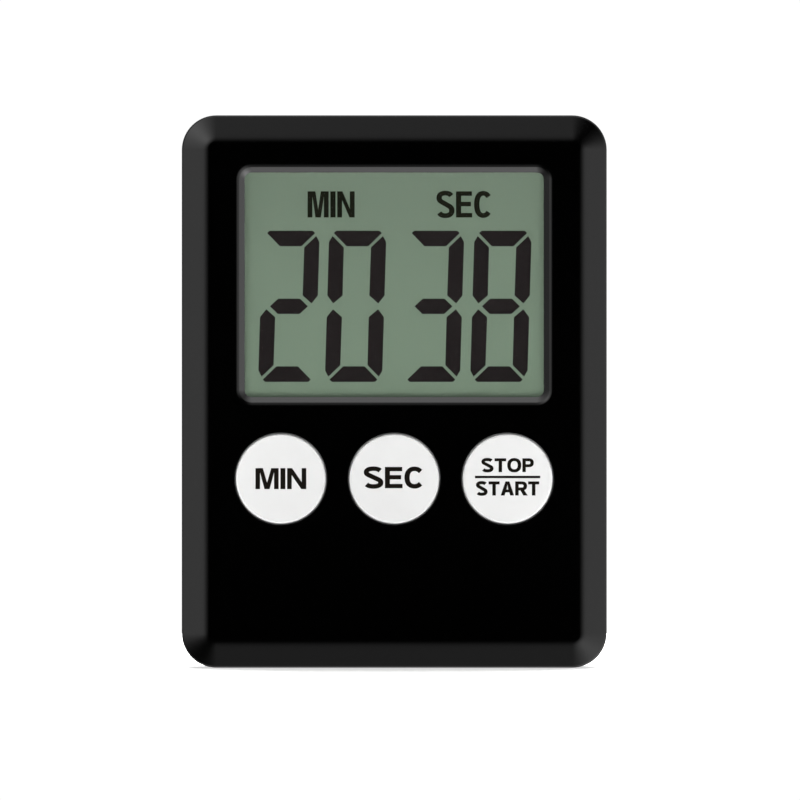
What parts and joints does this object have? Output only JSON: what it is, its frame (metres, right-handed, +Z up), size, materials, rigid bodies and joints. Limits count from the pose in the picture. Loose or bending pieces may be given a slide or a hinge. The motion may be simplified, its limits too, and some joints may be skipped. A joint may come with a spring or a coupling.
{
  "type": "countdown timer",
  "caption": "Pocket digital countdown timer with a bevelled black case, LCD window, round push buttons, fold-out stand, magnets and a tilt-out battery door.",
  "frame": {"origin": "centre of the bounding box's bottom face: under the middle of the case, on the surface it stands on", "axes": "+X right as seen from the front, +Y from the front to the back, +Z up; the buttons and window face -Y"},
  "size_m": [0.065, 0.0164, 0.0845],
  "materials": {
    "case_gloss": "black, moulded, high gloss",
    "case_satin": "black, fine moulded texture",
    "lens_clear": "clear, glossy",
    "display_film": "grey-green display film, matt",
    "display_glass": "clear, thin",
    "button_white": "white, satin, printed black legends",
    "keypad_rubber": "grey silicone, matt",
    "carbon": "black conductive, matt",
    "circuit_board": "green solder mask",
    "component_black": "black resin",
    "component_tan": "tan ceramic",
    "plated_steel": "nickel-plated steel",
    "cell_wrap": "printed sleeve, no mark",
    "wire_black": "PVC insulation",
    "wire_red": "PVC insulation",
    "sounder_brass": "rolled brass",
    "sounder_ceramic": "unglazed ceramic",
    "magnet_nickel": "nickel-plated, fine turned"
  },
  "bodies": {
    "case": {"front_case": "case_gloss", "rear_case": "case_satin", "lens": "lens_clear", "lcd_front_polariser": "display_film", "lcd_front_glass": "display_glass", "lcd_rear_glass": "display_glass", "lcd_reflector": "display_film", "zebra_strip": "keypad_rubber", "rubber_keypad": "keypad_rubber", "circuit_board": "circuit_board", "chip_blob": "component_black", "quartz_crystal": "plated_steel", "buzzer_inductor": "component_black", "driver_transistor": "component_black", "capacitor_can": "plated_steel", "capacitor_small_left": "component_tan", "capacitor_small_right": "component_tan", "resistor_upper": "component_tan", "resistor_lower": "component_tan", "battery_cell": "cell_wrap", "negative_contact": "plated_steel", "positive_contact": "plated_steel", "battery_spring": "plated_steel", "battery_lead_negative": "wire_black", "battery_lead_positive": "wire_red", "sounder_lead_black": "wire_black", "sounder_lead_red": "wire_red", "sounder_plate": "sounder_brass", "sounder_ceramic": "sounder_ceramic", "board_screw_lower_left": "plated_steel", "board_screw_lower_right": "plated_steel", "board_screw_upper_left": "plated_steel", "board_screw_upper_right": "plated_steel", "case_screw_upper_left": "plated_steel", "case_screw_upper_right": "plated_steel", "case_screw_lower_left": "plated_steel", "case_screw_lower_right": "plated_steel", "magnet_left": "magnet_nickel", "magnet_right": "magnet_nickel"},
    "button_min": {"button_min": "button_white", "carbon_pill_min": "carbon"},
    "button_sec": {"button_sec": "button_white", "carbon_pill_sec": "carbon"},
    "button_start_stop": {"button_start_stop": "button_white", "carbon_pill_start_stop": "carbon"},
    "stand": {"stand": "case_satin"},
    "battery_door": {"battery_door": "case_satin"}
  },
  "joints": [
    {"name": "press_min", "type": "slide", "parent": "case", "child": "button_min", "axis": [0, 1, 0], "range_m": [0, 0.0008], "stiffness_N_per_m": 500, "springref_m": -0.001, "deforming": ["rubber_keypad"]},
    {"name": "press_sec", "type": "slide", "parent": "case", "child": "button_sec", "axis": [0, 1, 0], "range_m": [0, 0.0008], "stiffness_N_per_m": 500, "springref_m": -0.001, "deforming": ["rubber_keypad"]},
    {"name": "press_start_stop", "type": "slide", "parent": "case", "child": "button_start_stop", "axis": [0, 1, 0], "range_m": [0, 0.0008], "stiffness_N_per_m": 500, "springref_m": -0.001, "deforming": ["rubber_keypad"]},
    {"name": "stand_hinge", "type": "hinge", "parent": "case", "child": "stand", "pos_m": [0, 0.0069, 0.024], "axis": [-1, 0, 0], "range_deg": [0, 110]},
    {"name": "battery_door_hinge", "type": "hinge", "parent": "case", "child": "battery_door", "pos_m": [0, 0.0072, 0.00365], "axis": [-1, 0, 0], "range_deg": [0, 80]}
  ]
}
